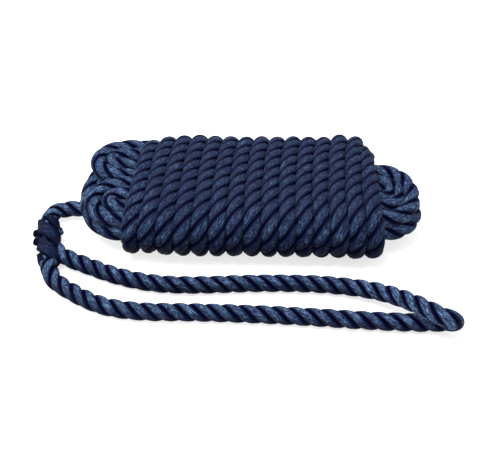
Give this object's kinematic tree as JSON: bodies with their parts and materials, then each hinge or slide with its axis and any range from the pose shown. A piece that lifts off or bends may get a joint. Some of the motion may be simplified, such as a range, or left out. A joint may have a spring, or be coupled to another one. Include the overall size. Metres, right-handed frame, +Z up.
{
  "type": "dock line",
  "caption": "Twisted three-strand dock line with a spliced eye, folded into a hank and wrapped tightly with its own turns, the eye lying free beside it.",
  "frame": {"origin": "centre of the wrapped turns' flat base, on the surface that the hank lies on", "axes": "+X along the hank from the splice end to the other end, +Y from the free eye across to the hank's far side, +Z up"},
  "size_m": [0.3038, 0.2095, 0.0489],
  "materials": {
    "navy_rope": "twisted nylon yarn with a soft sheen",
    "melted_tip": "nylon melted into one lump"
  },
  "bodies": {
    "root": {"wrapping_turns": "navy_rope", "hank_runs": "navy_rope", "left_bights": "navy_rope", "right_bights": "navy_rope", "lead": "navy_rope", "eye_splice": "navy_rope", "strand_ends": "navy_rope", "eye": "navy_rope", "bitter_end": "navy_rope", "sealed_tip": "melted_tip"}
  },
  "joints": []
}
